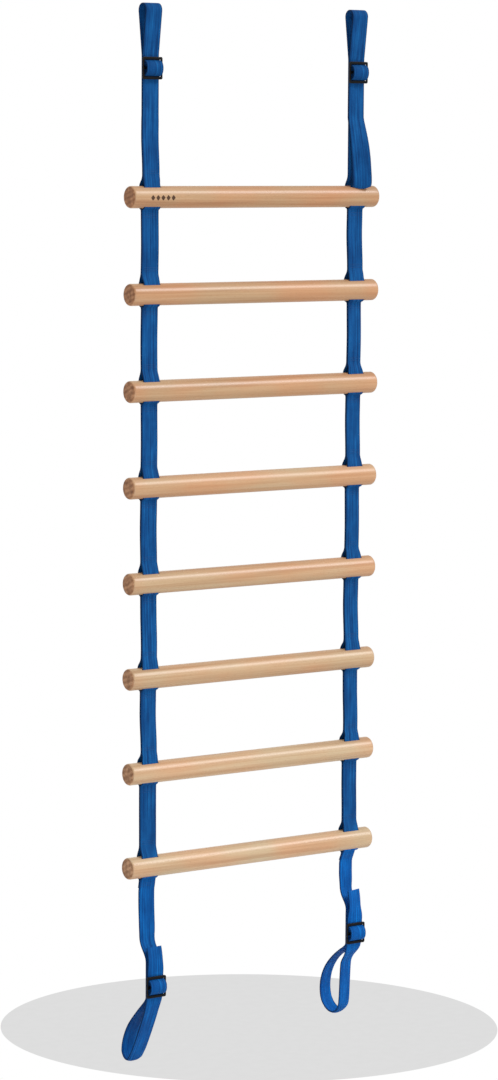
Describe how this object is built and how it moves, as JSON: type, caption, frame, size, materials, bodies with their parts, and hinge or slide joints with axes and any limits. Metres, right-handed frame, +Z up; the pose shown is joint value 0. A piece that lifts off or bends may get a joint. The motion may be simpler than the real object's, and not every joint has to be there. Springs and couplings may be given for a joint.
{
  "type": "rope ladder",
  "caption": "Hanging ladder of round wooden rungs carried in slots by two doubled webbing straps, with hanging loops, foot loops and three-bar slides.",
  "frame": {"origin": "middle of the hanging axis, half way between the two eyes that go over the bar", "axes": "+X along the rungs, to the right seen from the front; +Z up, along the ladder; +Y away from the viewer"},
  "size_m": [0.55, 0.1134, 1.9468],
  "materials": {
    "beech": "sanded, clear oiled beech",
    "webbing": "woven blue webbing",
    "thread": "bonded sewing thread",
    "slide_metal": "black coated, semi-gloss"
  },
  "bodies": {
    "hanging_loops": {"left_hanging_loop": "webbing", "right_hanging_loop": "webbing"},
    "left_top_adjuster": {"left_top_slide": "slide_metal", "left_top_turn": "webbing"},
    "right_top_adjuster": {"right_top_slide": "slide_metal", "right_top_turn": "webbing"},
    "step_1": {"rung_1": "beech", "left_strap_1": "webbing", "right_strap_1": "webbing", "rung_1_stitching": "thread"},
    "step_2": {"rung_2": "beech", "left_strap_2": "webbing", "right_strap_2": "webbing", "rung_2_stitching": "thread"},
    "step_3": {"rung_3": "beech", "left_strap_3": "webbing", "right_strap_3": "webbing", "rung_3_stitching": "thread"},
    "step_4": {"rung_4": "beech", "left_strap_4": "webbing", "right_strap_4": "webbing", "rung_4_stitching": "thread"},
    "step_5": {"rung_5": "beech", "left_strap_5": "webbing", "right_strap_5": "webbing", "rung_5_stitching": "thread"},
    "step_6": {"rung_6": "beech", "left_strap_6": "webbing", "right_strap_6": "webbing", "rung_6_stitching": "thread"},
    "step_7": {"rung_7": "beech", "left_strap_7": "webbing", "right_strap_7": "webbing", "rung_7_stitching": "thread"},
    "step_8": {"rung_8": "beech", "left_strap_8": "webbing", "right_strap_8": "webbing", "rung_8_stitching": "thread"},
    "left_foot": {"left_foot_loop": "webbing"},
    "left_foot_adjuster": {"left_foot_slide": "slide_metal", "left_strap_end": "webbing"},
    "right_foot": {"right_foot_loop": "webbing"},
    "right_foot_adjuster": {"right_foot_slide": "slide_metal", "right_strap_end": "webbing"}
  },
  "joints": [
    {"name": "fold_1", "type": "hinge", "parent": "hanging_loops", "child": "step_1", "pos_m": [0, 0, -0.21], "axis": [1, 0, 0], "range_deg": [-150, 150]},
    {"name": "fold_2", "type": "hinge", "parent": "step_1", "child": "step_2", "pos_m": [0, 0, -0.4205], "axis": [-1, 0, 0], "range_deg": [-150, 150]},
    {"name": "fold_3", "type": "hinge", "parent": "step_2", "child": "step_3", "pos_m": [0, 0, -0.5955], "axis": [1, 0, 0], "range_deg": [-150, 150]},
    {"name": "fold_4", "type": "hinge", "parent": "step_3", "child": "step_4", "pos_m": [0, 0, -0.7705], "axis": [-1, 0, 0], "range_deg": [-150, 150]},
    {"name": "fold_5", "type": "hinge", "parent": "step_4", "child": "step_5", "pos_m": [0, 0, -0.9455], "axis": [1, 0, 0], "range_deg": [-150, 150]},
    {"name": "fold_6", "type": "hinge", "parent": "step_5", "child": "step_6", "pos_m": [0, 0, -1.1205], "axis": [-1, 0, 0], "range_deg": [-150, 150]},
    {"name": "fold_7", "type": "hinge", "parent": "step_6", "child": "step_7", "pos_m": [0, 0, -1.2955], "axis": [1, 0, 0], "range_deg": [-150, 150]},
    {"name": "fold_8", "type": "hinge", "parent": "step_7", "child": "step_8", "pos_m": [0, 0, -1.4705], "axis": [-1, 0, 0], "range_deg": [-150, 150]},
    {"name": "left_foot_swing", "type": "hinge", "parent": "step_8", "child": "left_foot", "pos_m": [-0.23, 0, -1.608], "axis": [1, 0, 0], "range_deg": [-120, 120]},
    {"name": "right_foot_swing", "type": "hinge", "parent": "step_8", "child": "right_foot", "pos_m": [0.23, 0, -1.608], "axis": [1, 0, 0], "range_deg": [-120, 120]},
    {"name": "left_top_slide_travel", "type": "slide", "parent": "hanging_loops", "child": "left_top_adjuster", "axis": [0, 0, -1], "range_m": [0, 0.06]},
    {"name": "right_top_slide_travel", "type": "slide", "parent": "hanging_loops", "child": "right_top_adjuster", "axis": [0, 0, -1], "range_m": [0, 0.06]},
    {"name": "left_foot_slide_travel", "type": "slide", "parent": "left_foot", "child": "left_foot_adjuster", "axis": [0, 0, 1], "range_m": [0, 0.025]},
    {"name": "right_foot_slide_travel", "type": "slide", "parent": "right_foot", "child": "right_foot_adjuster", "axis": [0, 0, 1], "range_m": [0, 0.025]}
  ]
}
